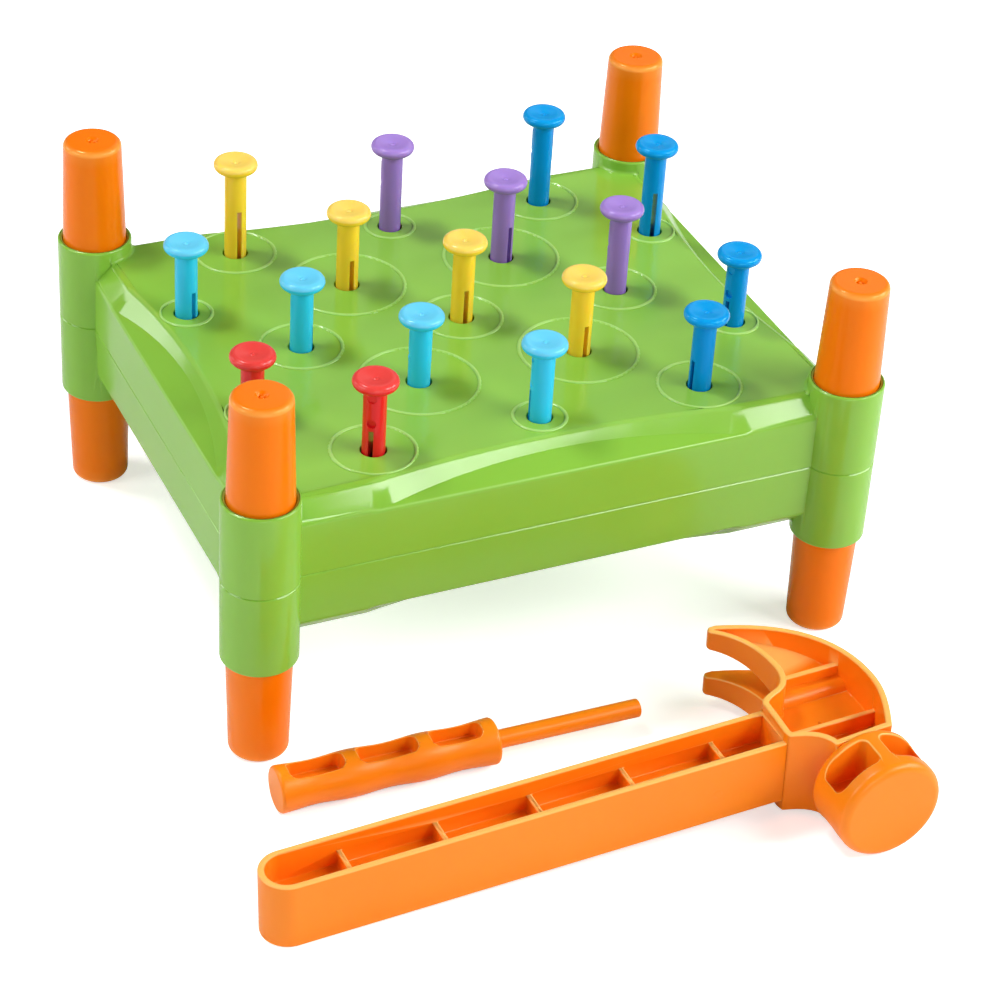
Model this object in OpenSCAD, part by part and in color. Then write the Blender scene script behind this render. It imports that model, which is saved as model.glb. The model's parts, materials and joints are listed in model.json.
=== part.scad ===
// Peg pounding bench: a two-part moulded deck on eight push-in leg cups, with
// seventeen split pegs, a claw hammer and a peg punch lying in front of it.
// Millimetres, +Z up, +X to the right, +Y to the back.
// The origin is on the floor, at the middle of the ground that the set covers.

/* [Bench] */
// Distance between the leg axes, left to right
post_span_x = 250; // [236:1:290]
// Distance between the leg axes, front to back
post_span_y = 203; // [194:1:240]
// Height over the ends of the upper and lower legs
overall_h = 165; // [150:1:180]
// Thickness of the body from the upper deck to the lower deck
body_t = 62.8; // [56:0.2:70]
// How far the body's walls stand out past the leg axes
wall_reach = 5.2; // [3:0.1:7]
// Thickness of the outer walls
shell_wall = 2.6; // [2:0.1:3.4]
// Thickness of the deck
deck_wall = 2.6; // [2:0.1:3.4]
// How far the walls lean in from the parting line to the rim
wall_draft = 0.5; // [0:0.1:1]
// Depth of the small groove that marks the parting line
seam = 0.4; // [0.2:0.1:0.8]

/* [Deck border] */
// Drop of the sloping border from the deck to the rim
rim_drop = 8.1; // [6:0.1:9]
// Plan width of the sloping border
rim_run = 8.4; // [7:0.1:11]
// Radius of the rounded shoulder between the deck and its border
shoulder_r = 5; // [3:0.5:8]
// How far each arched scoop reaches in from the wall
scoop_reach = 14.9; // [13:0.1:16]
// Drop of the riser from the deck to the scoop's floor
scoop_step = 4.2; // [3:0.1:5]
// How far the wall's top edge dips below the rim along a scoop
rim_dip = 0.8; // [0:0.1:1.5]

/* [Sleeves and legs] */
// Outer radius of the corner sleeves
sleeve_r = 15.5; // [15:0.1:17]
// Height of each sleeve half above the parting line
sleeve_h = 37; // [35:0.5:40]
// Radius of the rounded sleeve lip
lip_round = 1.1; // [0.5:0.1:1.2]
// Radius of a leg where it leaves the sleeve
socket_r = 13.25; // [12.6:0.05:13.4]
// Radius of a leg at its foot
foot_r = 12; // [11:0.05:12.4]
// Wall of the hollow legs
leg_wall = 2; // [1.4:0.1:3]
// Radius of the rounded foot edge
foot_round = 2.6; // [1:0.1:3.5]
// Gap between a leg and its sleeve, on the radius
leg_gap = 0.15; // [0.1:0.05:0.3]
// Gap between the inner ends of two legs, on each side of the parting line
leg_end_gap = 0.3; // [0.2:0.1:1]

/* [Pegs] */
// Distance between two columns of pegs
pitch_x = 35.25; // [34:0.25:37]
// Distance between two rows of pegs
pitch_y = 39.25; // [38:0.25:41]
// Radius of a peg's shank
shank_r = 4.65; // [4.3:0.05:4.9]
// Length of a peg's shank
shank_l = 58; // [54:0.5:60]
// Radius of a peg's head
head_r = 9.2; // [8.5:0.1:10]
// Thickness of a peg's head
head_t = 3.6; // [3:0.1:4.4]
// Radius of the peg holes
hole_r = 5.3; // [5.2:0.05:5.6]
// Gap between the split tip's barb and the hole, on the radius
barb_gap = 0.1; // [0.05:0.05:0.2]
// Width of the slit in a shank
slit_w = 2; // [1:0.1:2.6]
// Length of the slit from the tip
slit_l = 39.8; // [30:0.1:42]
// Outer radius of the tubes that guide the pegs
tube_r = 7.4; // [7.2:0.1:8]

/* [Ring lines] */
// Radius of the smallest ring line round a hole
ring_small = 10.6; // [10.4:0.1:11.5]
// Radius of the middle ring line
ring_medium = 16.9; // [15:0.1:17.5]
// Radius of the largest ring line
ring_large = 24.4; // [22:0.1:25]
// Radius of the raised bead that draws a ring
bead_r = 0.55; // [0.4:0.05:0.8]

/* [Hammer] */
// Length of the handle from the butt's centre to the middle of the head
reach_l = 229; // [215:1:245]
// Half width of the handle
handle_a = 10.85; // [10:0.05:12]
// Height of the handle as it lies
handle_h = 29.1; // [26:0.1:31]
// Length that the head's outline is drawn to, from the drum to the claw's tips
head_l = 109; // [100:1:114]
// Height of the head at the neck as it lies
head_h = 38; // [36:0.5:40]
// Height of the head at the claw's tips
tip_h = 32; // [29:0.5:34]
// Radius of the striking drum
drum_r = 21.8; // [20.5:0.1:23.5]
// How far the drum's axis lies from the middle of the head, towards the butt
drum_back = 1; // [0:0.1:2.5]
// Radius of the drum's rounded edges
drum_round = 3.5; // [2:0.1:5]
// Distance from the handle's axis to the drum's striking face
face_out = 47.3; // [46:0.1:50]
// Wall of the hammer's pockets
tool_wall = 2.6; // [2:0.1:3.2]
// Half gap of the claw's slot at the tips
slot_tip = 7.6; // [6.6:0.1:8]
// Half gap of the claw's slot at its root
slot_root = 3; // [2.5:0.1:4]
// Number of cross ribs in the handle
rib_count = 5; // [3:1:7]
// Distance from the butt's centre to the first rib
rib_first = 23.7; // [15:0.1:26]
// Distance between two ribs of the handle
rib_step = 38.7; // [30:0.1:40]
// Height of the ribs above the web between the hammer's two sides
rib_rise = 6.8; // [4:0.1:9]
// Height above the web of the rib that stands on the claw's slot
claw_rib_rise = 9; // [7:0.1:12]

/* [Punch] */
// Length of the punch's grip
grip_l = 91; // [85:1:100]
// Radius of the grip at its lands
grip_r = 9.5; // [9:0.1:10.5]
// Depth of the waists between the lands
waist_d = 0.8; // [0.4:0.1:1.2]
// Number of pockets along the grip
pocket_count = 3; // [2:1:4]
// Half width of a grip pocket
pocket_a = 4.7; // [4:0.1:5.2]
// Radius of the punch's rod
rod_r = 3.8; // [3.4:0.1:4.2]
// Length of the rod past the grip
rod_l = 62.6; // [58:0.2:68]

/* [Layout] */
// Butt of the hammer from the bench's middle, left to right
hammer_x = -151.2; // [-156:0.2:-146]
// Butt of the hammer from the bench's middle, front to back
hammer_y = -203.9; // [-215:0.1:-200]
// Turn of the hammer on the floor, in degrees
hammer_turn = 1.26; // [0:0.02:3]
// Butt of the punch from the bench's middle, left to right
punch_x = -132.2; // [-140:0.2:-125]
// Butt of the punch from the bench's middle, front to back
punch_y = -140; // [-145:0.1:-136]
// Turn of the punch on the floor, in degrees
punch_turn = -0.9; // [-2:0.1:1]

/* [Hidden] */
$fn = 64;

green = "#8cc850";
orange = "#f58220";
red = "#dc3c46";
sky = "#5ac8eb";
yellow = "#fad746";
purple = "#966ebe";
blue = "#0096dc";

// Overrun of every cut past the face that it opens
over = 1;

// Heights that follow from the driving sizes
part_z = overall_h / 2;
deck_up = body_t / 2;
rim_up = deck_up - rim_drop;
half_x = post_span_x / 2 + wall_reach;
half_y = post_span_y / 2 + wall_reach;

// Peg places: name, column, row, share of the shank that stands out, colour, slit's direction
peg_shares = [
  ["peg_red_1",    0,  0, 0.413, red,    83],
  ["peg_red_2",    1, -1, 0.505, red, -128],
  ["peg_sky_1",    0,  2, 0.512, sky,   113],
  ["peg_sky_2",    1,  1, 0.492, sky,   149],
  ["peg_sky_3",    2,  0, 0.481, sky,   156],
  ["peg_sky_4",    3, -1, 0.538, sky,   171],
  ["peg_yellow_1", 1,  3, 0.690, yellow,    92],
  ["peg_yellow_2", 2,  2, 0.550, yellow,    93],
  ["peg_yellow_3", 3,  1, 0.572, yellow,    87],
  ["peg_yellow_4", 4,  0, 0.550, yellow,    97],
  ["peg_purple_1", 3,  3, 0.631, purple,   152],
  ["peg_purple_2", 4,  2, 0.595, purple,   110],
  ["peg_purple_3", 5,  1, 0.624, purple,   152],
  ["peg_blue_1",   5, -1, 0.532, blue,    12],
  ["peg_blue_2",   6,  0, 0.508, blue, -159],
  ["peg_blue_3",   5,  3, 0.677, blue,   154],
  ["peg_blue_4",   6,  2, 0.671, blue,    61]
];
centre_column = 3;
centre_row = 1;
ring_of_column = [ring_small, ring_medium, ring_large, 0, ring_large, ring_medium, ring_small];
function peg_x(p) = (p[1] - centre_column) * pitch_x;
function peg_y(p) = (p[2] - centre_row) * pitch_y;
function peg_ring(p) =
  p[1] != centre_column ? ring_of_column[p[1]] : p[2] == centre_row ? ring_medium : ring_small;

// Snap studs stand on free places of the pegs' grid behind the middle, sockets in front of it
stud_places = [[0, 3], [6, 3], [3, 2]];
stud_r = 2.9;
stud_l = 8;
stud_gap = 0.1;
boss_r = 5.2;

// The hole's edge, the barb on a peg's tip and the fillet under its head
hole_bevel = 0.2;
barb_r = hole_r - barb_gap;
barb_l = 2.4;
barb_lead = 3;
tip_r = shank_r - 0.12 * shank_r;
head_fillet = 0.8 * (hole_r - shank_r);
head_dish = 0.35;
dish_share = 0.72;
gate_r = 0.9;
gate_h = 0.3;

// Round marks of the mould's ejector pins, above the slit and under the head, on one side
pin_r = 1.9;
pin_d = 0.5;
pin_rise = [3.3, 14.8];

// The leg's moulded end: a small crater round its gate mark
crater_r = 2.2;
crater_d = 0.9;
nub_r = 0.8;
leg_taper = (socket_r - foot_r) / (part_z - sleeve_h);
function leg_r(up) = socket_r + (sleeve_h - up) * leg_taper;

// Scoops: the arch spans this share of the side, and its floor runs down to the rim
scoop_span_share = 0.69;
riser_angle = 48.6;
scoop_run = scoop_step / tan(riser_angle);
scoop_fall = atan((rim_drop + rim_dip - scoop_step) / (scoop_reach - scoop_run));
riser_rel = riser_angle - scoop_fall;
function arch_r(half) =
  let(c = scoop_span_share * half) (c * c + scoop_reach * scoop_reach) / (2 * scoop_reach);

// Hammer values that follow from the driving sizes
web_t = 2.6;
rib_t = 2.2;
butt_level = handle_h / 2;
drum_u = reach_l - drum_back;
hammer_span = sqrt(butt_level * butt_level + (handle_a + drum_u) * (handle_a + drum_u));
hammer_tilt = asin(drum_r / hammer_span) - atan2(butt_level, handle_a + drum_u);
hammer_z = butt_level * cos(hammer_tilt) + handle_a * sin(hammer_tilt);
drum_web = 5.2;
drum_side = 2;
drum_wall_back = 4.6;
drum_wall_face = 7.3;
neck_sink = 0.9;
pocket_round = 3;
tip_in = 0.583 * head_l;

// The head's outline in shares of the head's length, from its middle and the handle's axis
tip_share = [-0.176, 0.583];
crown_share = [0.2014, 0.103];
neck_right_share = [0.112, -0.195];
neck_left_share = [-0.124, -0.211];
corner_near_share = [-0.253, -0.1067];
wall_near_share = [-0.2596, -0.078];
wall_far_share = [-0.2493, 0.0924];
bay_low_share = [-0.1553, 0.1592];
bay_high_share = [-0.1048, 0.2867];
tip_low_share = [-0.2145, 0.547];
function bez(a, b, c, d, t) =
  a * pow(1 - t, 3) + 3 * b * pow(1 - t, 2) * t + 3 * c * (1 - t) * t * t + d * pow(t, 3);
function curve(a, b, c, d, n) = [for (k = [1 : n]) bez(a, b, c, d, k / n)];
head_shares = concat(
  curve(tip_share, [0.020, 0.515], [0.206, 0.378], crown_share, 14),
  curve(crown_share, [0.2014, -0.0115], [0.158, -0.103], neck_right_share, 8),
  [neck_left_share],
  curve(neck_left_share, [-0.136, -0.1445], [-0.186, -0.126], corner_near_share, 7),
  [wall_near_share, wall_far_share],
  curve(wall_far_share, [-0.2413, 0.1307], [-0.184, 0.1422], bay_low_share, 6),
  curve(bay_low_share, [-0.1151, 0.1835], [-0.1025, 0.2408], bay_high_share, 6),
  curve(bay_high_share, [-0.106, 0.4243], [-0.161, 0.505], tip_low_share, 10),
  curve(tip_low_share, [-0.228, 0.563], [-0.208, 0.596], tip_share, 5)
);
neck_wall = reach_l + wall_near_share[0] * head_l;
drum_l = face_out + neck_right_share[1] * head_l - neck_sink;
slot_root_v = 0.243 * head_l;
claw_rib_v = 0.264 * head_l;
neck_rib_v = 0.002 * head_l;

// Punch values that follow from the driving sizes
grip_pitch = grip_l / pocket_count;
land_half = 3;
grip_end = 5;
grip_round = 1.4;
grip_steps = 10;

// Ground that the whole set covers, which places the origin at its middle
hammer_ux = cos(hammer_turn) * cos(hammer_tilt);
hammer_uy = sin(hammer_turn) * cos(hammer_tilt);
hammer_wx = cos(hammer_turn) * sin(hammer_tilt);
hammer_wy = sin(hammer_turn) * sin(hammer_tilt);
butt_reach = handle_a * sqrt(pow(hammer_ux, 2) + pow(sin(hammer_turn), 2)) + butt_level * hammer_wx;
drum_disc = (drum_r - drum_round) * sqrt(pow(hammer_uy, 2) + pow(hammer_wy, 2));
face_reach = (face_out - drum_round) * cos(hammer_turn) + drum_disc + drum_round;
set_left = hammer_x - butt_reach;
set_right = post_span_x / 2 + sleeve_r;
set_front = hammer_y + drum_u * hammer_uy - face_reach;
set_back = post_span_y / 2 + sleeve_r;
bench_x = -(set_left + set_right) / 2;
bench_y = -(set_front + set_back) / 2;

// Places of the four posts: left is -1 and right is 1, front is -1 and back is 1
module at_post(sx, sy) {
  translate([bench_x + sx * post_span_x / 2, bench_y + sy * post_span_y / 2, part_z]) children();
}

function arc(cx, cy, r, a0, a1, n) =
  [for (k = [0 : n]) let(a = a0 + (a1 - a0) * k / n) [cx + r * cos(a), cy + r * sin(a)]];

// Right half of the body's section: a leaning wall, the sloping border and its rounded shoulder
function block_side(half, inset, top) =
  let(
    foot = half - inset,
    lean = inset == 0 ? seam : 0,
    slope = atan(rim_drop / (rim_run - wall_draft)),
    reach = shoulder_r * tan(slope / 2)
  ) concat(
    [[foot - lean, -inset], [foot, lean], [foot - wall_draft, rim_up - inset]],
    arc(foot - rim_run - reach, top - shoulder_r, shoulder_r, 90 - slope, 90, 5)
  );

module block_profile(half, inset, top) {
  side = block_side(half, inset, top);
  polygon(concat(side, [for (k = [len(side) - 1 : -1 : 0]) [-side[k][0], side[k][1]]]));
}

// The upper half block, as the outer skin or, inset by the wall, as its hollow
module half_block(inset, top) {
  intersection() {
    translate([-half_x, 0, 0]) rotate([90, 0, 90])
      linear_extrude(2 * half_x) block_profile(half_y, inset, top);
    translate([0, half_y, 0]) rotate([90, 0, 0])
      linear_extrude(2 * half_y) block_profile(half_x, inset, top);
  }
}

// One arched scoop on the front side of a block that is half wide
module scoop(half, span, skin) {
  r = arch_r(span) + skin;
  crown = half - scoop_reach + scoop_run;
  translate([0, -crown, deck_up - scoop_step - skin]) rotate([scoop_fall, 0, 0])
    translate([0, -r + 2 * skin, 0])
      cylinder(h = rim_drop + skin, r1 = r, r2 = r + (rim_drop + skin) / tan(riser_rel), $fn = 128);
}

module scoops(skin) {
  for (turn = [0, 180]) {
    rotate([0, 0, turn]) scoop(half_y, half_x, skin);
    rotate([0, 0, turn + 90]) scoop(half_x, half_y, skin);
  }
}

// Solid sleeve half with a rounded lip, before its bore
module sleeve() {
  rotate_extrude() polygon(concat(
    [[0, 0], [sleeve_r - seam, 0], [sleeve_r, seam]],
    arc(sleeve_r - lip_round, sleeve_h - lip_round, lip_round, 0, 90, 6),
    [[0, sleeve_h]]
  ));
}

module at_corners() {
  for (sx = [-1, 1], sy = [-1, 1])
    translate([sx * post_span_x / 2, sy * post_span_y / 2, 0]) children();
}

module at_pegs() {
  for (p = peg_shares) translate([peg_x(p), peg_y(p), 0]) children();
}

module at_studs(side) {
  for (s = stud_places)
    translate([(s[0] - centre_column) * pitch_x, side * (s[1] - centre_row) * pitch_y, 0]) children();
}

module ring_lines() {
  for (p = peg_shares) translate([peg_x(p), peg_y(p), deck_up])
    rotate_extrude($fn = 96) translate([peg_ring(p), 0]) circle(r = bead_r, $fn = 16);
}

// Hollow of a shell half: the inset block, less what stands inside it
module shell_hollow() {
  difference() {
    half_block(shell_wall, deck_up - deck_wall);
    scoops(deck_wall);
    at_corners() cylinder(h = sleeve_h, r = sleeve_r);
    at_pegs() cylinder(h = body_t, r = tube_r, center = true);
    at_studs(1) cylinder(h = body_t, r = boss_r, center = true);
    at_studs(-1) cylinder(h = body_t, r = boss_r, center = true);
  }
}

// One moulding serves for both halves: turned over, its studs meet its sockets
module shell_half() {
  difference() {
    union() {
      difference() {
        half_block(0, deck_up);
        scoops(0);
      }
      at_corners() sleeve();
      ring_lines();
    }
    shell_hollow();
    at_corners() translate([0, 0, -over])
      cylinder(h = sleeve_h + 2 * over, r1 = leg_r(-over) + leg_gap, r2 = leg_r(sleeve_h + over) + leg_gap);
    at_pegs() {
      cylinder(h = 2 * body_t, r = hole_r, center = true);
      translate([0, 0, deck_up - hole_bevel])
        cylinder(h = hole_bevel + over, r1 = hole_r, r2 = hole_r + hole_bevel + over);
    }
    at_studs(-1) cylinder(h = 2 * (stud_l + over), r = stud_r + stud_gap, center = true);
  }
  at_studs(1) translate([0, 0, -stud_l]) cylinder(h = stud_l + seam, r = stud_r);
}

module top_shell() {
  color(green) translate([bench_x, bench_y, part_z]) shell_half();
}

module bottom_shell() {
  color(green) translate([bench_x, bench_y, part_z]) rotate([180, 0, 0]) shell_half();
}

// Hollow leg cup standing up from the parting plane, wide end inside the body
module leg_cup() {
  end = part_z;
  inner = end - leg_wall;
  rotate_extrude() polygon(concat(
    [[leg_r(leg_end_gap) - leg_wall, leg_end_gap], [leg_r(leg_end_gap), leg_end_gap]],
    arc(leg_r(end - foot_round) - foot_round, end - foot_round, foot_round, 0, 90, 8),
    [[crater_r, end], [nub_r, end - crater_d], [nub_r / 2, end - crater_d / 2], [0, end - crater_d / 2]],
    [[0, inner - crater_d], [leg_r(inner) - leg_wall - foot_round, inner - crater_d]],
    [[leg_r(inner) - leg_wall, inner - crater_d - foot_round]]
  ));
}

module upper_leg(sx, sy) {
  color(orange) at_post(sx, sy) leg_cup();
}

module lower_leg(sx, sy) {
  color(orange) at_post(sx, sy) rotate([180, 0, 0]) leg_cup();
}

// Split peg: the head's underside is at zero, the shank hangs below it
module peg_body(slit_dir) {
  edge = head_t / 2;
  difference() {
    rotate_extrude() polygon(concat(
      [[0, -shank_l], [tip_r, -shank_l], [barb_r, -shank_l + barb_lead]],
      [[barb_r, -shank_l + barb_lead + barb_l], [shank_r, -shank_l + 2 * barb_lead + barb_l]],
      arc(shank_r + head_fillet, -head_fillet, head_fillet, 180, 90, 4),
      arc(head_r - edge, edge, edge, -90, 90, 12),
      [[dish_share * head_r, head_t - head_dish / 3], [gate_r * 2, head_t - head_dish]],
      [[gate_r, head_t - head_dish + gate_h], [0, head_t - head_dish + gate_h]]
    ));
    rotate([0, 0, slit_dir]) translate([-head_r, -slit_w / 2, -shank_l - over])
      cube([2 * head_r, slit_w, slit_l + over]);
    for (up = pin_rise) rotate([0, 0, slit_dir])
      translate([shank_r - pin_d, 0, -shank_l + slit_l + up]) rotate([0, 90, 0])
        cylinder(h = pin_d + over, r = pin_r, $fn = 32);
  }
}

module peg(name) {
  for (p = peg_shares) if (p[0] == name)
    color(p[4]) translate([bench_x + peg_x(p), bench_y + peg_y(p), part_z + deck_up + p[3] * shank_l])
      peg_body(p[5]);
}

module head_outline() {
  polygon([for (p = head_shares) [reach_l + p[0] * head_l, p[1] * head_l]]);
}

module handle_outline(wall) {
  circle(r = handle_a - wall);
  translate([0, -handle_a + wall]) square([neck_wall + tool_wall, 2 * (handle_a - wall)]);
}

// Both faces of the head slope in towards the claw's tips
module head_envelope() {
  rotate([90, 0, 90]) linear_extrude(2 * reach_l) polygon([
    [-face_out, -head_h / 2], [0, -head_h / 2], [tip_in, -tip_h / 2],
    [tip_in, tip_h / 2], [0, head_h / 2], [-face_out, head_h / 2]
  ]);
}

// The claw's slot, wide at the tips and round at its root, and with skin the wall that lines it
module claw_slot(skin) {
  length = tip_in - slot_root_v + over;
  translate([neck_wall - handle_a, 0, 0]) rotate([90, 0, 90]) linear_extrude(reach_l) union() {
    translate([slot_root_v, 0]) circle(r = slot_root + skin);
    polygon([
      [slot_root_v, -slot_root - skin], [slot_root_v + length, -slot_tip - skin],
      [slot_root_v + length, slot_tip + skin], [slot_root_v, slot_root + skin]
    ]);
  }
}

module head_pockets() {
  difference() {
    translate([0, 0, -head_h]) linear_extrude(2 * head_h) offset(delta = -tool_wall) head_outline();
    translate([0, -face_out, -web_t / 2]) cube([2 * reach_l, head_l, web_t]);
    claw_slot(tool_wall);
    for (rib = [[claw_rib_v, claw_rib_rise], [neck_rib_v, rib_rise]])
      translate([neck_wall, rib[0] - rib_t / 2, -web_t / 2 - rib[1]])
        cube([head_l, rib_t, web_t + 2 * rib[1]]);
    translate([neck_wall, -face_out, -head_h]) cube([head_l, face_out + neck_right_share[1] * head_l, 2 * head_h]);
  }
}

module hammer_head() {
  difference() {
    intersection() {
      translate([0, 0, -head_h / 2]) linear_extrude(head_h) head_outline();
      head_envelope();
    }
    head_pockets();
    claw_slot(0);
  }
}

module handle() {
  difference() {
    translate([0, 0, -handle_h / 2]) linear_extrude(handle_h) handle_outline(0);
    difference() {
      translate([0, 0, -handle_h]) linear_extrude(2 * handle_h) intersection() {
        handle_outline(tool_wall);
        translate([-handle_a, -handle_a]) square([neck_wall + handle_a, 2 * handle_a]);
      }
      translate([-handle_a, -handle_a, -web_t / 2]) cube([reach_l, 2 * handle_a, web_t]);
      for (k = [0 : rib_count - 1])
        translate([rib_first + k * rib_step - rib_t / 2, -handle_a, -web_t / 2 - rib_rise])
          cube([rib_t, 2 * handle_a, web_t + 2 * rib_rise]);
    }
  }
}

// Round striking drum with two pockets in its top and two below
module drum() {
  pocket_l = drum_l - drum_wall_back - drum_wall_face;
  pocket_w = drum_r - drum_side - drum_web / 2;
  difference() {
    translate([drum_u, -face_out, 0]) rotate([-90, 0, 0]) rotate_extrude($fn = 96) polygon(concat(
      [[0, 0]],
      arc(drum_r - drum_round, drum_round, drum_round, -90, 0, 8),
      arc(drum_r - drum_round, drum_l - drum_round, drum_round, 0, 90, 8),
      [[0, drum_l]]
    ));
    for (side = [-1, 1], face = [-1, 1])
      translate([
        drum_u + side * (drum_web + pocket_w) / 2,
        -face_out + drum_wall_face + pocket_l / 2,
        face * (drum_r + web_t) / 2
      ])
        pocket_block(pocket_w, pocket_l, drum_r - web_t);
  }
}

// A pocket with rounded corners, open at both of its flat ends
module pocket_block(w, l, h) {
  translate([0, 0, -h / 2]) linear_extrude(h) {
    square([w - 2 * pocket_round, l], center = true);
    square([w, l - 2 * pocket_round], center = true);
    for (sx = [-1, 1], sy = [-1, 1])
      translate([sx * (w / 2 - pocket_round), sy * (l / 2 - pocket_round)]) circle(r = pocket_round, $fn = 24);
  }
}

module hammer() {
  color(orange) translate([bench_x + hammer_x, bench_y + hammer_y, hammer_z])
    rotate([0, -hammer_tilt, hammer_turn]) {
      handle();
      hammer_head();
      drum();
    }
}

// Grip radius at a place along it: full at the ends and lands, drawn in between them
function grip_at(s) = grip_r - waist_d * (1 - cos(360 * s / grip_pitch)) / 2;

module punch_body() {
  rotate([0, 90, 0]) rotate_extrude() polygon(concat(
    [[0, 0]],
    arc(grip_r - grip_round, grip_round, grip_round, -90, 0, 5),
    [for (k = [1 : pocket_count * grip_steps - 1])
      [grip_at(k * grip_pitch / grip_steps), k * grip_pitch / grip_steps]],
    arc(grip_r - grip_round, grip_l - grip_round, grip_round, 0, 90, 5),
    [[rod_r, grip_l]],
    arc(rod_r - grip_round / 2, grip_l + rod_l - grip_round / 2, grip_round / 2, 0, 90, 5),
    [[0, grip_l + rod_l]]
  ));
}

module punch_pockets() {
  for (k = [0 : pocket_count - 1], face = [-1, 1]) {
    start = k == 0 ? grip_end : k * grip_pitch + land_half;
    stop = k == pocket_count - 1 ? grip_l - grip_end - grip_round : (k + 1) * grip_pitch - land_half;
    translate([(start + stop) / 2, 0, face * (grip_r + web_t) / 2])
      pocket_block(stop - start, 2 * pocket_a, grip_r);
  }
}

module punch() {
  color(orange) translate([bench_x + punch_x, bench_y + punch_y, grip_r]) rotate([0, 0, punch_turn])
    difference() {
      punch_body();
      punch_pockets();
    }
}

top_shell();
bottom_shell();
upper_leg(-1, -1);  // upper_leg_front_left
upper_leg(1, -1);  // upper_leg_front_right
upper_leg(-1, 1);  // upper_leg_back_left
upper_leg(1, 1);  // upper_leg_back_right
lower_leg(-1, -1);  // lower_leg_front_left
lower_leg(1, -1);  // lower_leg_front_right
lower_leg(-1, 1);  // lower_leg_back_left
lower_leg(1, 1);  // lower_leg_back_right
peg("peg_red_1");  // peg_red_1
peg("peg_red_2");  // peg_red_2
peg("peg_sky_1");  // peg_sky_1
peg("peg_sky_2");  // peg_sky_2
peg("peg_sky_3");  // peg_sky_3
peg("peg_sky_4");  // peg_sky_4
peg("peg_yellow_1");  // peg_yellow_1
peg("peg_yellow_2");  // peg_yellow_2
peg("peg_yellow_3");  // peg_yellow_3
peg("peg_yellow_4");  // peg_yellow_4
peg("peg_purple_1");  // peg_purple_1
peg("peg_purple_2");  // peg_purple_2
peg("peg_purple_3");  // peg_purple_3
peg("peg_blue_1");  // peg_blue_1
peg("peg_blue_2");  // peg_blue_2
peg("peg_blue_3");  // peg_blue_3
peg("peg_blue_4");  // peg_blue_4
hammer();
punch();
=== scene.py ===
# %% [markdown]
# # A peg pounding bench for toddlers
# The bench is two green mouldings that meet in the middle, with eight orange leg cups in the sleeves at
# their corners. Seventeen split pegs slide down through the deck when they are hammered, and a claw hammer
# and a peg punch lie in front of it. Everything is injection-moulded plastic.
#
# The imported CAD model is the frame. Every piece keeps its place in it, and this script gives the
# rounded edges, the plastics, the camera and the light.

# %% Load the frame
import bpy
import bmesh
import json
import math
from mathutils import Matrix, Vector


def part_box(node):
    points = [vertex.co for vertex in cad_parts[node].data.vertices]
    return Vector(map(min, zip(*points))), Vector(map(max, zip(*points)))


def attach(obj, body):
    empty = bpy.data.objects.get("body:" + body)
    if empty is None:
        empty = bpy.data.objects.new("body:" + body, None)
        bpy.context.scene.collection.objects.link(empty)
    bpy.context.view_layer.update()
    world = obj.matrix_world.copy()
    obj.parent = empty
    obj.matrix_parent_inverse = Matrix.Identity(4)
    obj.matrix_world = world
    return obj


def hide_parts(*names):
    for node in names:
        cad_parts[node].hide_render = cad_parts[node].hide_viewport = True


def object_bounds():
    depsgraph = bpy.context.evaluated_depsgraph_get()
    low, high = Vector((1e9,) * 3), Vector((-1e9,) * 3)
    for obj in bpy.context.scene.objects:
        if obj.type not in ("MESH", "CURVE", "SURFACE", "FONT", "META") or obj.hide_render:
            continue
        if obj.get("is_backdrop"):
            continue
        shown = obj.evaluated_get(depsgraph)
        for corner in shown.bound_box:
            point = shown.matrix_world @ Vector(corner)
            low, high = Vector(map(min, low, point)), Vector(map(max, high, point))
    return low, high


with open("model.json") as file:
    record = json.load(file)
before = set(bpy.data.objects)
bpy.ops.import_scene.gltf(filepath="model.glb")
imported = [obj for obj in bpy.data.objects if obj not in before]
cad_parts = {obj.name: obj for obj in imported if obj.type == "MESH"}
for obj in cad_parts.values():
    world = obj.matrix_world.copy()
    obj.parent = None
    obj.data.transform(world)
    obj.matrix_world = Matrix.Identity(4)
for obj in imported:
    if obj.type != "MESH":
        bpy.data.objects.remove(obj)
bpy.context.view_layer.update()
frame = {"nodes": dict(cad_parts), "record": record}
nodes = frame["nodes"]
scene = bpy.context.scene

# %% [markdown]
# ## Camera
# The photograph was taken from the front left, from 35 degrees above, with a long lens, as product
# pictures are. One way to find the camera is to try places by eye. Here it was solved from things whose
# sizes are tied to each other, the eight leg ends and the grid of pegs, and that gives the camera's
# place in units of the distance between the left and the right legs.

# %% The bench's middle
leg_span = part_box("lower_leg_front_right")[1].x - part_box("lower_leg_front_left")[1].x
bench_left, bench_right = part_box("lower_leg_front_left")[0].x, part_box("lower_leg_front_right")[1].x
bench_front, bench_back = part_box("lower_leg_front_left")[0].y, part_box("lower_leg_back_left")[1].y
middle = Vector(((bench_left + bench_right) / 2, (bench_front + bench_back) / 2, 0))
mid_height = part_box("upper_leg_front_left")[1].z / 2
print("leg span:", round(leg_span, 4), "middle:", [round(v, 4) for v in middle],
      "half height:", mid_height)

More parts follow.
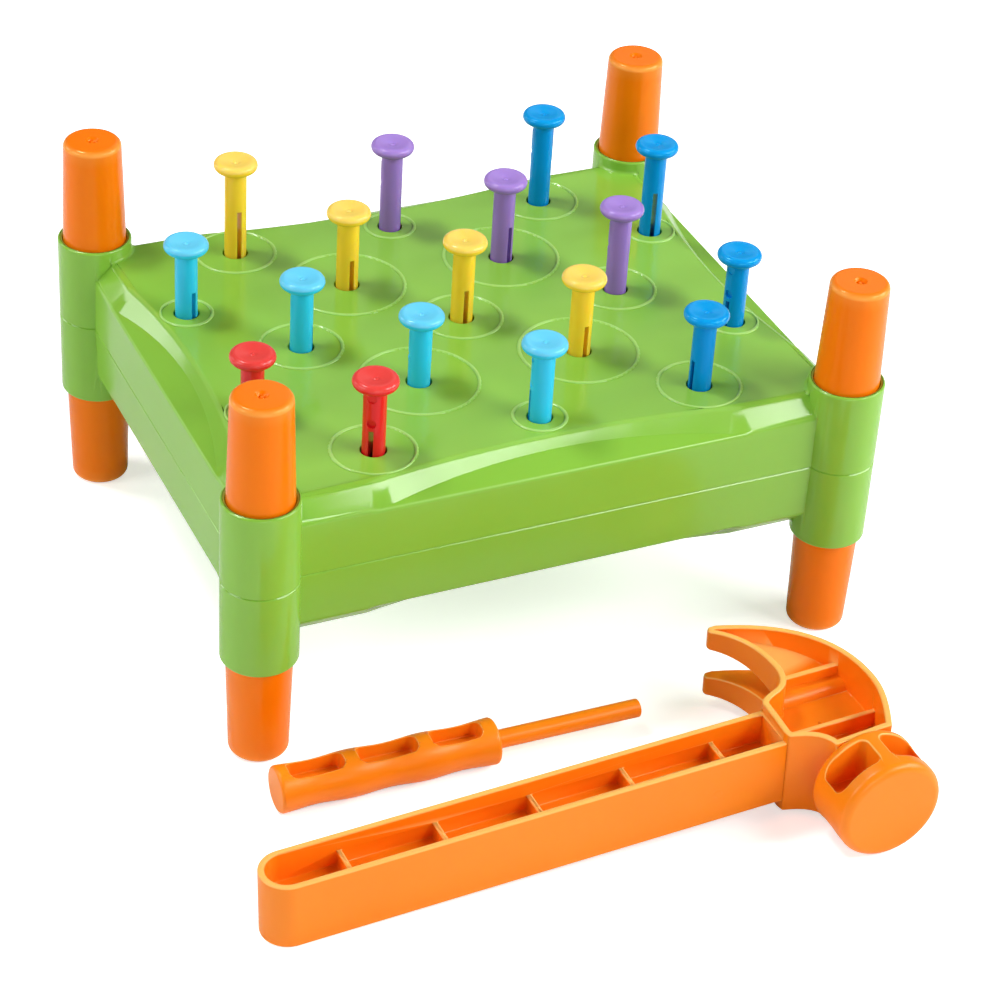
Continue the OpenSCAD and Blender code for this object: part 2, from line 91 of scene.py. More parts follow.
# %% Camera
sensor_width, lens_in_widths = 36, 3.0689
stand_in_spans = Vector((-1.8135, -3.9208, 3.1142))
nearest, farthest = 0.1, 30
camera = bpy.data.objects.new("camera", bpy.data.cameras.new("camera"))
scene.collection.objects.link(camera)
scene.camera = camera
look_right = Vector((0.91381, -0.40258, 0.05365)).normalized()
look_ahead = Vector((0.35830, 0.73689, -0.57325)).normalized()
look_up = look_right.cross(look_ahead).normalized()
look_right = look_ahead.cross(look_up)
stand = middle + leg_span * stand_in_spans
turn = Matrix((look_right, look_up, -look_ahead)).transposed().to_4x4()
camera.matrix_world = Matrix.Translation(stand) @ turn
camera.data.sensor_width = sensor_width
camera.data.lens = lens_in_widths * sensor_width
camera.data.clip_start, camera.data.clip_end = nearest, farthest
print("camera stands at", [round(v, 3) for v in stand])

# %% [markdown]
# ## Plastic
# The real thing is polypropylene in seven colours, moulded in tools with a fine satin texture. Up close
# it isn't one flat colour: the pigment flows in faint clouds, and the satin breaks the highlights up. The
# edges and tops are also painted a shade paler, a painted highlight and glow that stands in for light
# passing through more of the surface. A picture texture could show that, but a pattern made by nodes
# stays sharp at any distance and needs no file.
#
# The clouds, the satin and the painted highlight are one node group that every plastic uses with its own
# values.

# %% Helpers for shader nodes
MM = 0.001


def new_group(name, inputs, outputs):
    group = bpy.data.node_groups.new(name, "ShaderNodeTree")
    for label, kind, value in inputs:
        socket = group.interface.new_socket(label, in_out="INPUT", socket_type=kind)
        socket.default_value = value
    for label, kind in outputs:
        group.interface.new_socket(label, in_out="OUTPUT", socket_type=kind)
    return group, group.nodes.new("NodeGroupInput"), group.nodes.new("NodeGroupOutput")


def add_node(tree, kind, **settings):
    node = tree.nodes.new(kind)
    for key, value in settings.items():
        setattr(node, key, value)
    return node


def noise(tree, place, per_metre, detail=2.0):
    node = add_node(tree, "ShaderNodeTexNoise")
    node.inputs["Scale"].default_value = per_metre
    node.inputs["Detail"].default_value = detail
    tree.links.new(place, node.inputs["Vector"])
    return node.outputs["Fac"]


def ramp(tree, value, low, high, to_low, to_high):
    node = add_node(tree, "ShaderNodeMapRange", clamp=True)
    keys = ("From Min", "From Max", "To Min", "To Max")
    for key, number in zip(keys, (low, high, to_low, to_high)):
        if isinstance(number, bpy.types.NodeSocket):
            tree.links.new(number, node.inputs[key])
        else:
            node.inputs[key].default_value = number
    tree.links.new(value, node.inputs["Value"])
    return node.outputs["Result"]


def blend_colour(tree, amount, first, second):
    """A colour mix. The node's colour sockets share their names with others, so they go by number."""
    node = add_node(tree, "ShaderNodeMix", data_type="RGBA")
    tree.links.new(amount, node.inputs["Factor"])
    tree.links.new(first, node.inputs[6])
    tree.links.new(second, node.inputs[7])
    return node.outputs[2]


# %% A node group for moulded plastic
cloud_scale, smear_scale, grain_scale = 22, 70, 1800
satin, satin_in, satin_out = new_group(
    "moulded_satin",
    [("Colour", "NodeSocketColor", (0.5, 0.5, 0.5, 1)),
     ("Deep Colour", "NodeSocketColor", (0.4, 0.4, 0.4, 1)),
     ("Painted Light Colour", "NodeSocketColor", (0.8, 0.8, 0.8, 1)),
     ("Gloss Roughness", "NodeSocketFloat", 0.25),
     ("Satin Depth", "NodeSocketFloat", 0.5)],
    [("Colour", "NodeSocketColor"), ("Roughness", "NodeSocketFloat"), ("Height", "NodeSocketFloat")])
place = add_node(satin, "ShaderNodeTexCoord").outputs["Object"]
clouds = ramp(satin, noise(satin, place, cloud_scale, 3.0), 0.35, 0.7, 0.0, 1.0)
# Painted highlight: where a point is marked with painted light, the paler colour is mixed into the plastic's
# own.
painted_light_fac = add_node(satin, "ShaderNodeAttribute", attribute_name="rim").outputs["Fac"]
rim = ramp(satin, painted_light_fac, 0.0, 1.0, 0.0, 1.0)
clouded = blend_colour(satin, clouds, satin_in.outputs["Colour"], satin_in.outputs["Deep Colour"])
colour_with_painted_light = blend_colour(satin, rim, clouded, satin_in.outputs["Painted Light Colour"])
satin.links.new(colour_with_painted_light, satin_out.inputs["Colour"])
smear = ramp(satin, noise(satin, place, smear_scale, 4.0), 0.3, 0.75, -0.03, 0.05)
sum_up = add_node(satin, "ShaderNodeMath", operation="ADD")
satin.links.new(satin_in.outputs["Gloss Roughness"], sum_up.inputs[0])
satin.links.new(smear, sum_up.inputs[1])
satin.links.new(sum_up.outputs[0], satin_out.inputs["Roughness"])
fine = noise(satin, place, grain_scale)
scale = add_node(satin, "ShaderNodeMath", operation="MULTIPLY")
satin.links.new(fine, scale.inputs[0])
satin.links.new(satin_in.outputs["Satin Depth"], scale.inputs[1])
satin.links.new(scale.outputs[0], satin_out.inputs["Height"])
print("group", satin.name, "has", len(satin.nodes), "nodes")

# %% [markdown]
# A plastic is then one Principled shader. Polypropylene lets light in for a millimetre or two, which
# makes thin walls glow and pockets deepen in colour, so each one has a little subsurface light. Each
# entry below gives a plastic its colour, the colour of its clouds, the paler colour painted on its edges
# and tops as a painted highlight, and its gloss's tint. The hammer and the punch are duller than the
# orange legs, so theirs is a plastic of its own.

# %% The plastics
satin_bump, satin_height = 0.08, 0.03 * MM
refraction = 1.47


def plastic(name, colour, deep, painted_light, tint, rough=0.21,
            under_skin=0.2, skin_depth=1.6 * MM, spread=(1.0, 0.45, 0.2)):
    material = bpy.data.materials.new(name)
    material.use_nodes = True
    tree = material.node_tree
    shader = tree.nodes["Principled BSDF"]
    group = add_node(tree, "ShaderNodeGroup", node_tree=satin)
    for label, value in (("Colour", colour), ("Deep Colour", deep), ("Painted Light Colour", painted_light)):
        group.inputs[label].default_value = (*value, 1)
    group.inputs["Gloss Roughness"].default_value = rough
    bump = add_node(tree, "ShaderNodeBump")
    bump.inputs["Strength"].default_value = satin_bump
    bump.inputs["Distance"].default_value = satin_height
    tree.links.new(group.outputs["Height"], bump.inputs["Height"])
    tree.links.new(bump.outputs["Normal"], shader.inputs["Normal"])
    tree.links.new(group.outputs["Colour"], shader.inputs["Base Color"])
    tree.links.new(group.outputs["Roughness"], shader.inputs["Roughness"])
    shader.inputs["IOR"].default_value = refraction
    shader.inputs["Specular Tint"].default_value = (*tint, 1)
    shader.inputs["Subsurface Weight"].default_value = under_skin
    shader.inputs["Subsurface Radius"].default_value = spread
    shader.inputs["Subsurface Scale"].default_value = skin_depth
    return material


# The third colour of each plastic is a painted highlight, mixed in where a piece is marked with painted
# light.
plastics = {
    "green": plastic("green_plastic", (0.252, 0.530, 0.056), (0.242, 0.515, 0.050),
                     (0.38, 0.68, 0.16), (1.0, 1.0, 1.0), rough=0.16),
    "orange": plastic("orange_plastic", (0.960, 0.200, 0.001), (0.945, 0.190, 0.001),
                      (1.0, 0.46, 0.10), (1.0, 0.7, 0.3)),
    "red": plastic("red_plastic", (0.740, 0.014, 0.016), (0.725, 0.012, 0.014),
                   (0.88, 0.12, 0.10), (1.0, 0.7, 0.7)),
    "sky": plastic("sky_plastic", (0.025, 0.570, 0.870), (0.022, 0.555, 0.855),
                   (0.28, 0.70, 0.92), (0.6, 0.9, 1.0)),
    "yellow": plastic("yellow_plastic", (1.0, 0.640, 0.040), (1.0, 0.625, 0.036),
                      (1.0, 0.72, 0.24), (1.0, 0.95, 0.75),
                      under_skin=0.6, skin_depth=3.0 * MM, spread=(1.0, 0.6, 0.1)),
    "purple": plastic("purple_plastic", (0.320, 0.176, 0.600), (0.310, 0.170, 0.585),
                      (0.46, 0.31, 0.74), (0.9, 0.8, 1.0)),
    "blue": plastic("blue_plastic", (0.000, 0.276, 0.720), (0.000, 0.270, 0.705),
                    (0.01, 0.40, 0.82), (0.2, 0.7, 1.0)),
}
tool_orange = plastic("orange_tool_plastic", (0.980, 0.255, 0.006), (0.965, 0.240, 0.004),
                      (1.0, 0.49, 0.12), (1.0, 0.85, 0.65), rough=0.32)
slot_of = {entry["node"]: entry["material_slot"] for entry in frame["record"]["subparts"]}


def plastic_of(node_name):
    return tool_orange if node_name in ("hammer", "punch") else plastics[slot_of[node_name]]


for name, node in nodes.items():
    node.data.materials.clear()
    node.data.materials.append(plastic_of(name))
print("plastics:", ", ".join(plastics))

# %% [markdown]
# ## Rounded edges
# A mould has no sharp edge anywhere, and a toy's least of all: each rim and rib is rounded by about half
# a millimetre or more, and it is that round that catches the light in the photograph. The CAD solids
# have crisp edges, so their meshes are copied, joined, and their convex edges bevelled. Modelling the
# shells a second time would only risk two shapes that differ.

# %% Copy, join and round a CAD mesh
same_place = 0.001 * MM
crease_angle = math.radians(20)
# Rounds that face up or down more steeply than this are painted paler, a painted highlight.
rim_facing = 0.35


def merged_copy(node_name, flatness=0.5):
    """A CAD mesh with its points joined and its faces merged where they lie within flatness degrees."""
    bm = bmesh.new()
    bm.from_mesh(nodes[node_name].data)
    bm.verts.layers.float.new("rim")
    bmesh.ops.remove_doubles(bm, verts=bm.verts, dist=same_place)
    bmesh.ops.dissolve_limit(bm, angle_limit=math.radians(flatness), verts=bm.verts, edges=bm.edges,
                             use_dissolve_boundaries=False, delimit={"NORMAL"})
    bmesh.ops.connect_verts_concave(bm, faces=[face for face in bm.faces if len(face.verts) > 4])
    for edge in bm.edges:
        edge.smooth = edge.calc_face_angle(0) < crease_angle
    return bm


# Paints light onto points: each gets a share of its plastic's paler colour, a painted highlight.
def mark_rim(bm, vertices, share=1.0):
    layer = bm.verts.layers.float["rim"]
    for vertex in vertices:
        vertex[layer] = share


def round_edges(bm, edges, radius, segments=3, painted_light=1.0):
    """Bevels the edges that earlier bevels have left, and paints a highlight on the rounds that face up or
    down.
    """
    edges = [edge for edge in edges if edge.is_valid]
    for edge in edges:
        edge.smooth = True
    made = bmesh.ops.bevel(bm, geom=edges, offset=radius, offset_type="OFFSET", segments=segments,
                           profile=0.5, affect="EDGES", clamp_overlap=False, material=-1)
    bm.normal_update()
    skin = set(made["faces"])
    mark_rim(bm, [vertex for vertex in made["verts"]
                  if set(vertex.link_faces) <= skin and abs(vertex.normal.z) > rim_facing], painted_light)
    return made


def finish_piece(bm, piece_name, material, body, evenness=80):
    for face in bm.faces:
        face.smooth = True
    mesh = bpy.data.meshes.new(piece_name)
    bm.to_mesh(mesh)
    bm.free()
    if mesh.has_custom_normals:
        mesh.attributes.remove(mesh.attributes["custom_normal"])
    mesh.materials.clear()
    mesh.materials.append(material)
    piece = bpy.data.objects.new(piece_name, mesh)
    scene.collection.objects.link(piece)
    even = piece.modifiers.new("even_shading", "WEIGHTED_NORMAL")
    even.keep_sharp = True
    even.weight = evenness
    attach(piece, body)
    print(piece_name, "faces:", len(mesh.polygons))
    return piece


def finish_copy(bm, node_name, piece_name, body, evenness=80):
    piece = finish_piece(bm, piece_name, plastic_of(node_name), body, evenness)
    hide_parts(node_name)


# %% [markdown]
# ### The two shells
# On a shell the round edges are the rim between wall and border, the crest of each arched scoop, the seam
# and the rims of the four sleeves. Each sleeve also meets the deck in a cove. They are picked by what they
# are: how steep, whether convex, how high over the seam, and how far from a peg or a leg.

# %% Places on a shell
deck_rise = 31.4 * MM
sleeve_r = 15.5 * MM
hole_zone = 7.5 * MM
peg_names = [name for name in nodes if name.startswith("peg_")]
peg_places = [(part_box(name)[0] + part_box(name)[1]).xy / 2 for name in peg_names]
leg_axes = [(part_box(name)[0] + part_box(name)[1]).xy / 2 for name in nodes if name.startswith("upper_leg")]
leg_left, leg_right = min(axis.x for axis in leg_axes), max(axis.x for axis in leg_axes)
leg_front, leg_back = min(axis.y for axis in leg_axes), max(axis.y for axis in leg_axes)


def from_peg(point):
    return min((point.xy - peg).length for peg in peg_places)


def from_leg(point):
    return min((point.xy - axis).length for axis in leg_axes)


def from_sides(point):
    """How far a point lies inside the rectangle that the leg axes span."""
    return min(point.x - leg_left, leg_right - point.x, point.y - leg_front, leg_back - point.y)


print("pegs:", len(peg_places), "legs:", len(leg_axes))

# %% The walls' rims and the scoops' crests
wall_round, crest_round = 1.2 * MM, 1.5 * MM
rim_low = 18 * MM
least_up, upright = 0.3, 0.3
speck_area = (0.7 * MM) ** 2


def shell_edges(bm, side):
    walls, crests = [], []
    for edge in bm.edges:
        if len(edge.link_faces) != 2 or not edge.is_convex:
            continue
        rise = min(side * (vertex.co.z - mid_height) for vertex in edge.verts)
        face_up = side * sum(face.normal.z for face in edge.link_faces)
        if rise < rim_low or face_up < least_up or edge.calc_face_angle() < crease_angle:
            continue
        smallest = min(face.calc_area() for face in edge.link_faces)
        if from_peg(edge.verts[0].co) < hole_zone or smallest < speck_area:
            continue
        flattest = min(abs(face.normal.z) for face in edge.link_faces)
        (walls if flattest < upright else crests).append(edge)
    return walls, crests


# %% The seam, the sleeve rims and the coves
seam_round, sleeve_round, cove_round = 0.4 * MM, 0.8 * MM, 1.6 * MM
corner_crease = math.radians(40)
outer_wall = 6 * MM
seam_high = 0.05 * MM
sleeve_in, sleeve_out = sleeve_r - 0.2 * MM, sleeve_r + 0.1 * MM
sleeve_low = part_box("top_shell")[1].z - mid_height - 0.3 * MM
cove_low, cove_reach = deck_rise - MM, 0.25 * MM


def on_rim(point):
    """Whether a point of the seam is on the shell's outside, and not on a tube or a stud inside it."""
    return from_sides(point) < outer_wall or from_leg(point) < sleeve_out


def corner_edges(bm, side):
    seam, sleeves, coves = [], [], []
    for edge in bm.edges:
        if len(edge.link_faces) != 2 or edge.calc_face_angle(0) < corner_crease:
            continue
        rises = [side * (vertex.co.z - mid_height) for vertex in edge.verts]
        reach = [from_leg(vertex.co) for vertex in edge.verts]
        middle_point = (edge.verts[0].co + edge.verts[1].co) / 2
        on_seam = max(rises) < seam_high and min(reach) > sleeve_in and on_rim(middle_point)
        at_foot = max(abs(r - sleeve_r) for r in reach) < cove_reach and min(rises) > cove_low
        if edge.is_convex and on_seam:
            seam.append(edge)
        elif edge.is_convex and min(rises) > sleeve_low and max(reach) < sleeve_out:
            sleeves.append(edge)
        elif not edge.is_convex and at_foot:
            coves.append(edge)
    return seam, sleeves, coves


# %% [markdown]
# The rings round the pegs are fine lines that stand a little over the deck. They are drawn wider here, save
# near the border, where a wider line would reach its edge.

# %% The ring lines
ring_sizes = (10.6 * MM, 16.9 * MM, 24.4 * MM)
bead_low, bead_high = deck_rise + 0.05 * MM, deck_rise + MM
bead_reach = 0.6 * MM
bead_widening = 1.5
border_zone = 11 * MM
ring_points = 150


def ring_beads(bm, side):
    return [vertex for vertex in bm.verts
            if bead_low < side * (vertex.co.z - mid_height) < bead_high
            and from_peg(vertex.co) > hole_zone and from_leg(vertex.co) > sleeve_r + MM]


def off_ring(point, ring):
    peg, size = ring
    return abs((point.xy - peg).length - size)


def widen_beads(beads):
    rings = [(peg, size) for peg in peg_places for size in ring_sizes
             if sum(off_ring(vertex.co, (peg, size)) < bead_reach for vertex in beads) > ring_points]
    for vertex in beads:
        if from_sides(vertex.co) < border_zone:
            continue
        peg, size = min(rings, key=lambda ring: off_ring(vertex.co, ring))
        arm = vertex.co.xy - peg
        reach = size + (arm.length - size) * bead_widening
        vertex.co.xy = peg + arm.normalized() * reach
    return len(rings)


# %% The two shells
for node_name, side in (("top_shell", 1), ("bottom_shell", -1)):
    bm = merged_copy(node_name)
    beads = ring_beads(bm, side)
    # The ring lines are painted fully paler, a painted highlight.
    mark_rim(bm, beads)
    feet = {edge.other_vert(vertex) for vertex in beads for edge in vertex.link_edges} - set(beads)
    rings = widen_beads(beads + sorted(feet, key=lambda vertex: vertex.index))
    walls, crests = shell_edges(bm, side)
    seam, sleeves, coves = corner_edges(bm, side)
    print(node_name, "ring lines:", rings, "bead points:", len(beads), "edges to round:", len(walls),
          len(crests), "seam:", len(seam), "sleeves:", len(sleeves), "coves:", len(coves))
    # Each round is painted paler by its share, a painted highlight: the sleeves' rims and the seam's round
    # fully, the coves not at all.
    round_edges(bm, coves, cove_round, painted_light=0.0)
    round_edges(bm, crests, crest_round, painted_light=0.35)
    round_edges(bm, walls, wall_round, painted_light=0.6)
    round_edges(bm, sleeves, sleeve_round)
    mark_rim(bm, round_edges(bm, seam, seam_round, segments=2)["verts"])
    finish_copy(bm, node_name, node_name + "_moulding", "bench")

# %% [markdown]
# ### The leg cups
# A cup's closed end has a soft shoulder, on which a band paler than its side is painted as a highlight,
# and a small crater with the nub where the plastic was let in. The crater in a copy of each cup is made
# deeper, and its nub oblong, as a gate leaves it. A cup is merged less than the others, so that its long
# sides keep even shading.

# %% The leg cups
crater_r, nub_r, crater_floor = 2.3 * MM, 0.9 * MM, 1.2 * MM
crater_growth, nub_growth = (1.25, 1.25, 1.9), (0.9, 1.7, 1)
shoulder, shoulder_r, shoulder_painted_light = 2.8 * MM, 6 * MM, 0.6
for name in [name for name in nodes if "_leg_" in name]:
    low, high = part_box(name)
    side = 1 if name.startswith("upper") else -1
    end = Vector((*((low + high) / 2).xy, high.z if side > 0 else low.z))
    bm = merged_copy(name, flatness=0.02)
    reach = {vertex: (vertex.co.xy - end.xy).length for vertex in bm.verts}
    near_end = [vertex for vertex in bm.verts if abs(vertex.co.z - end.z) < crater_floor]
    crater = [vertex for vertex in near_end if reach[vertex] < crater_r]
    nub = [vertex for vertex in crater if reach[vertex] < nub_r]
    around = Matrix.Translation(-end)
    bmesh.ops.scale(bm, verts=crater, vec=crater_growth, space=around)
    bmesh.ops.scale(bm, verts=nub, vec=nub_growth, space=around)
    # A band round the shoulder is painted paler, most in its middle: a painted highlight.
    for vertex in bm.verts:
        drop = abs(vertex.co.z - end.z)
        if drop < shoulder and reach[vertex] > shoulder_r:
            mark_rim(bm, [vertex], shoulder_painted_light * math.sin(math.pi * drop / shoulder))
    finish_copy(bm, name, name + "_moulding", "bench", evenness=50)

# %% [markdown]
# ### The pegs
# A peg's head is a soft disc: its rim is fully round and thicker than its middle, which is a shallow dish
# with a dimple and the small nub where the plastic was let in. The CAD head is plainer than that, so the
# head is cut off a copy of the peg and grown again ring by ring from the top of the shank. Each ring is the
# last one extruded, scaled and lifted, so the peg stays one closed skin.

# %% The rings of a peg's head
shank_r = 4.8 * MM
neck_drop = 0.5 * MM
cad_head = 3.6 * MM
rim_middle, rim_width, rim_half = 7.3 * MM, 2.2 * MM, 2.15 * MM
neck = [(4.86 * MM, -0.25 * MM), (5.0 * MM, -0.08 * MM), (5.3 * MM, 0.0)]
rim_arc = [(rim_middle + rim_width * math.cos(math.radians(angle)),
            rim_half * (1 + math.sin(math.radians(angle)))) for angle in range(-90, 91, 15)]
dish = [(6.5 * MM, 4.25 * MM), (5.6 * MM, 4.12 * MM), (4.5 * MM, 3.92 * MM), (3.4 * MM, 3.75 * MM),
        (2.4 * MM, 3.62 * MM), (1.7 * MM, 3.45 * MM), (1.15 * MM, 3.2 * MM)]
head_nub = [(0.85 * MM, 3.2 * MM), (0.65 * MM, 3.5 * MM), (0.25 * MM, 3.56 * MM)]
head_rings = neck + rim_arc + dish + head_nub


def grow_ring(bm, loop, axis, old, new):
    """Extrudes a loop of edges from one radius and height to the next, and gives back the new loop."""
    made = bmesh.ops.extrude_edge_only(bm, edges=loop)["geom"]
    ring = [item for item in made if isinstance(item, bmesh.types.BMVert)]
    share = new[0] / old[0]
    bmesh.ops.scale(bm, verts=ring, vec=(share, share, 1), space=Matrix.Translation(-axis))
    bmesh.ops.translate(bm, verts=ring, vec=(0, 0, new[1] - old[1]))
    return [item for item in made
            if isinstance(item, bmesh.types.BMEdge) and all(end in ring for end in item.verts)]


print("rings of a head:", len(head_rings))

# %% [markdown]
# A pin pushed each peg out of its mould and left a round mark above the split. On two pegs of the
# photograph the mark is a clear recess, so the floor of theirs is pushed further in. Another peg is turned
# a little, because the photograph doesn't look through its split.

# %% The deep marks
deep_marks = ("peg_red_2", "peg_blue_2")
mark_high, mark_low = 12 * MM, 18 * MM
mark_floor = 4.6 * MM
mark_push = 0.9 * MM


def deepen_mark(bm, axis):
    floor = [vertex for vertex in bm.verts if mark_high < axis.z - vertex.co.z < mark_low
             and (vertex.co.xy - axis.xy).length < mark_floor]
    inwards = (axis.xy - sum((vertex.co.xy for vertex in floor), Vector((0, 0))) / len(floor)).normalized()
    bmesh.ops.translate(bm, verts=floor, vec=Vector((*inwards, 0)) * mark_push)
    print("mark made deeper, points:", len(floor))


# %% The pegs
peg_turns = {"peg_blue_4": 16}
head_painted_light, painted_light_rise = 0.45, 0.3 * MM
for name in peg_names:
    low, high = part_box(name)
    axis = Vector((*((low + high) / 2).xy, high.z - cad_head))
    bm = merged_copy(name)
    cut = bmesh.ops.bisect_plane(bm, geom=[*bm.verts, *bm.edges, *bm.faces], dist=same_place,
                                 plane_co=axis - Vector((0, 0, neck_drop)), plane_no=(0, 0, 1),
                                 clear_outer=True)
    loop = [item for item in cut["geom_cut"] if isinstance(item, bmesh.types.BMEdge)]
    last = (shank_r, -neck_drop)
    for ring in head_rings:
        loop = grow_ring(bm, loop, axis, last, ring)
        last = ring
    bmesh.ops.contextual_create(bm, geom=loop)
    bmesh.ops.recalc_face_normals(bm, faces=bm.faces)
    # The top of the head, above the middle of its rim, is painted paler: a painted highlight where light
    # falls.
    mark_rim(bm, [vertex for vertex in bm.verts if vertex.co.z > axis.z + rim_half + painted_light_rise], head_painted_light)
    peg_turn = Matrix.Rotation(math.radians(peg_turns.get(name, 0)), 3, "Z")
    bmesh.ops.rotate(bm, verts=bm.verts, cent=axis, matrix=peg_turn)
    if name in deep_marks:
        deepen_mark(bm, axis)
    finish_copy(bm, name, name + "_moulding", name)

# %% [markdown]
# ### The hammer and the punch
# Both are open mouldings with ribs. Their convex edges are rounded, the rims and ribs as well, and so are
# the corners round the pockets' floors. The CAD mesh has long thin triangles beside some edges, over which
# a bevel would fold, so they are joined to their neighbours first. A ledge narrower than the rounds stays
# sharp. The rounds that face up or down are painted paler, a painted highlight, fully on the hammer and by
# half on the punch. The thin tops of the hammer's walls and ribs let light through, so the whole width of
# each top is painted paler as well, a painted glow. They are found by their height over the web, the
# hammer's flat middle.

# %% Parts of the hammer and the punch
half_web = 1.3 * MM
top_low, top_high = 7.5 * MM, 19.2 * MM
floor_area = 60 * MM * MM
sliver_width, ledge_width, slender_length = 0.3 * MM, 0.8 * MM, 5 * MM
web_facing, top_facing, floor_facing = 0.90, 0.93, 0.98
flat_angle, sharp_angle, pocket_angle = math.radians(1), math.radians(35), math.radians(50)


def slender(face, width):
    longest = max(edge.calc_length() for edge in face.edges)
    return longest > slender_length and face.calc_area() < width * longest


def join_slivers(bm):
    """Joins long thin triangles to the flat face beside them, because a bevel would fold over them."""
    seams = []
    for face in bm.faces:
        if len(face.verts) == 3 and slender(face, sliver_width):
            flat = [edge for edge in face.edges if edge.calc_face_angle(1) < flat_angle]
            seam = max(flat, key=lambda edge: edge.calc_length(), default=None)
            if flat and seam not in seams:
                seams.append(seam)
    bmesh.ops.dissolve_edges(bm, edges=seams, use_verts=False)
    return len(seams)


def web_plane(bm):
    web = max((face for face in bm.faces if face.normal.z > web_facing), key=lambda face: face.calc_area())
    return web.normal.copy(), web.verts[0].co.dot(web.normal) - half_web


def wall_tops(bm, up, middle_height):
    tops = set()
    for face in bm.faces:
        rise = abs(face.calc_center_median().dot(up) - middle_height)
        if top_low < rise < top_high and abs(face.normal.dot(up)) > top_facing:
            tops.update(face.verts)
    return tops


def pocket_corners(bm, up):
    """The concave edges round the pockets' floors."""
    floors = {face for face in bm.faces
              if abs(face.normal.dot(up)) > floor_facing and face.calc_area() > floor_area}
    return [edge for edge in bm.edges if not edge.is_convex and edge.calc_face_angle(0) > pocket_angle
            and any(face in floors for face in edge.link_faces)]


def sharp_edges(bm, up):
    """The convex edges, except those of narrow ledges."""
    ledges = {face for face in bm.faces
              if abs(face.normal.dot(up)) > top_facing and slender(face, ledge_width)}
    return [edge for edge in bm.edges if edge.is_convex and edge.calc_face_angle(0) > sharp_angle
            and not any(face in ledges for face in edge.link_faces)]


# %% The hammer and the punch
corner_round = 0.6 * MM
# The last value is how strongly the rounds are painted paler, a painted highlight.
for node_name, radius, painted_light in (("hammer", 0.7 * MM, 1.0), ("punch", 0.6 * MM, 0.5)):
    bm = merged_copy(node_name)
    print(node_name, "slivers joined:", join_slivers(bm))
    up, middle_height = web_plane(bm)
    corners = pocket_corners(bm, up)
    round_edges(bm, corners, corner_round, painted_light=0.0)
    sharp = sharp_edges(bm, up)
    round_edges(bm, sharp, radius, painted_light=painted_light)
    tops = wall_tops(bm, up, middle_height) if node_name == "hammer" else []
    # The wall tops are painted fully paler, a painted glow of light through thin plastic.
    mark_rim(bm, tops)
    print(node_name, "corners softened:", len(corners), "edges rounded:", len(sharp),
          "points on wall tops:", len(tops))
    finish_copy(bm, node_name, node_name + "_moulding", node_name)

# %% [markdown]
# ### Marks of the mould
# Two small marks show where the hammer's plastic was let in and where a pin pushed it out: a low pip on the
# floor of the head, and a faint disc on the side of the handle. Each is a cone with a bevelled top.

# %% Marks of the mould
mark_segments, mark_round = 32, 0.3


def mould_mark(name, place, out, foot_r, top_r, height):
    bm = bmesh.new()
    bmesh.ops.create_cone(bm, cap_ends=True, cap_tris=False, segments=mark_segments,
                          radius1=foot_r, radius2=top_r, depth=height)
    top = [edge for edge in bm.edges if all(vertex.co.z > 0 for vertex in edge.verts)]
    bmesh.ops.bevel(bm, geom=top, offset=mark_round * height, offset_type="OFFSET", segments=2,
                    profile=0.5, affect="EDGES", material=-1)
    bm.verts.layers.float.new("rim")
    turn_out = Vector(out).to_track_quat("Z", "Y").to_matrix().to_4x4()
    bmesh.ops.transform(bm, matrix=Matrix.Translation(Vector(place)) @ turn_out, verts=bm.verts)
    finish_piece(bm, name, tool_orange, "hammer")


mould_mark("hammer_gate_pip", (0.08769, -0.12591, 0.02325), (-0.030, -0.001, 1.0),
           foot_r=1.3 * MM, top_r=0.5 * MM, height=0.7 * MM)
mould_mark("hammer_pin_disc", (0.03221, -0.14617, 0.01927), (0.022, -1.0, 0.0),
           foot_r=1.8 * MM, top_r=1.7 * MM, height=0.16 * MM)

# %% [markdown]
# ## Studio
# The photograph has a white ground with soft shadows. The key light hangs over the bench's back left and
# throws the pegs' shadows to the right. Broad lights from the right and from the front brighten the scoops'
# risers and the right sides of the legs. Each is an area lamp, because a soft box shows in a gloss as a
# shape with an edge.

# %% The ground
floor_size = 8
paper_white, paper_rough = 0.92, 0.8
near_reach, far_reach = 0.25, 0.80
near_white, far_white = 0.57, 1.0


def white_ground(tree, shader):
    """Paper that only the camera sees lit a little more, so that it is white where nothing shades it."""
    reach = add_node(tree, "ShaderNodeVectorMath", operation="DISTANCE")
    tree.links.new(add_node(tree, "ShaderNodeTexCoord").outputs["Object"], reach.inputs[0])
    reach.inputs[1].default_value = middle
    amount = add_node(tree, "ShaderNodeMath", operation="MULTIPLY")
    tree.links.new(add_node(tree, "ShaderNodeLightPath").outputs["Is Camera Ray"], amount.inputs[0])
    white = ramp(tree, reach.outputs["Value"], near_reach, far_reach, near_white, far_white)
    tree.links.new(white, amount.inputs[1])
    shader.inputs["Emission Color"].default_value = (1, 1, 1, 1)
    tree.links.new(amount.outputs[0], shader.inputs["Emission Strength"])


paper = bpy.data.materials.new("white_paper")
paper.use_nodes = True
sheet_shader = paper.node_tree.nodes["Principled BSDF"]
sheet_shader.inputs["Base Color"].default_value = (paper_white, paper_white, paper_white, 1)
sheet_shader.inputs["Roughness"].default_value = paper_rough
white_ground(paper.node_tree, sheet_shader)

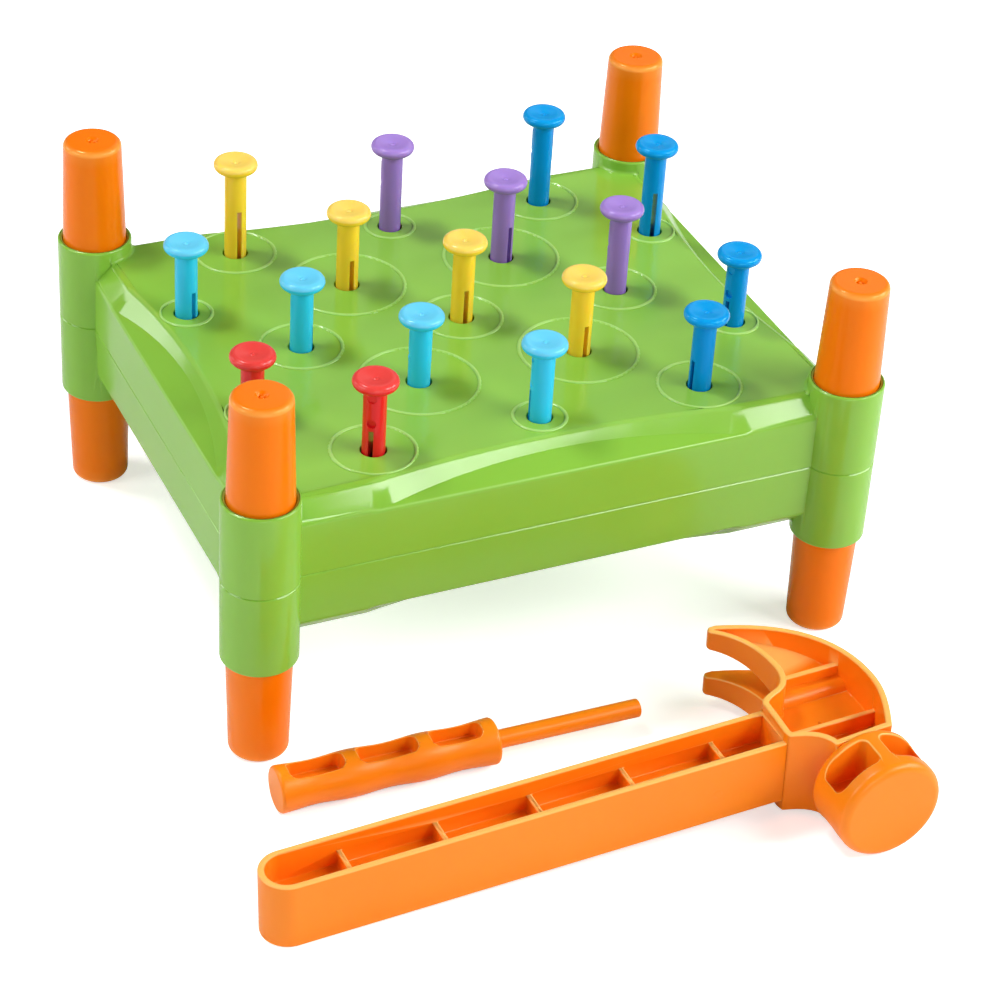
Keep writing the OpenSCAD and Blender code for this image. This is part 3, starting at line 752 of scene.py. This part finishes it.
bm = bmesh.new()
bmesh.ops.create_grid(bm, x_segments=1, y_segments=1, size=floor_size)
floor_mesh = bpy.data.meshes.new("floor")
bm.to_mesh(floor_mesh)
bm.free()
floor_mesh.materials.append(paper)
floor = bpy.data.objects.new("floor", floor_mesh)
scene.collection.objects.link(floor)
floor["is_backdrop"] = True
print("ground:", 2 * floor_size, "m across")

# %% [markdown]
# The world is plain white to the camera. It lights the pieces only faintly, so that the lamps make the
# shadows, and it shows a little more in a gloss.

# %% The world
world_light, world_gloss = 0.04, 0.10
world = bpy.data.worlds.new("studio")
scene.world = world
world.use_nodes = True
room = world.node_tree
background = room.nodes["Background"]
background.inputs["Color"].default_value = (1, 1, 1, 1)
eye = add_node(room, "ShaderNodeLightPath")
shine = ramp(room, eye.outputs["Is Glossy Ray"], 0.0, 1.0, world_light, world_gloss)
level = ramp(room, eye.outputs["Is Camera Ray"], 0.0, 1.0, shine, 1.0)
room.links.new(level, background.inputs["Strength"])
print("world nodes:", len(room.nodes))

# %% The lamps
aim = middle + Vector((0, 0, 0.08))


def soft_box(name, towards, distance, width, height, radiance):
    lamp = bpy.data.lights.new(name, "AREA")
    lamp.shape = "RECTANGLE"
    lamp.size, lamp.size_y = width, height
    lamp.energy = radiance * math.pi * width * height
    box = bpy.data.objects.new(name, lamp)
    direction = Vector(towards).normalized()
    box.location = aim + direction * distance
    box.rotation_euler = (-direction).to_track_quat("-Z", "Y").to_euler()
    scene.collection.objects.link(box)


soft_box("key_back_left", (-0.33, 0.29, 0.90), 2.2, 0.42, 0.42, 36.0)
soft_box("box_left", (-0.84, 0.05, 0.5), 2.2, 1.0, 0.8, 6.1)
soft_box("box_right", (0.82, -0.31, 0.45), 2.0, 1.0, 0.8, 8.5)
soft_box("box_front", (0.53, -0.58, 0.64), 2.4, 0.85, 0.85, 11.0)
soft_box("box_far_left", (-0.69, 0.64, 0.34), 2.4, 0.6, 0.6, 6.0)
soft_box("box_low", (-0.15, -0.9, 0.3), 2.5, 1.5, 1.0, 3.1)
soft_box("box_back", (0.5, 0.7, 0.6), 2.6, 1.4, 0.8, 0.6)
scene.view_settings.view_transform = "Standard"

# %% Finish
low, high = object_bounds()
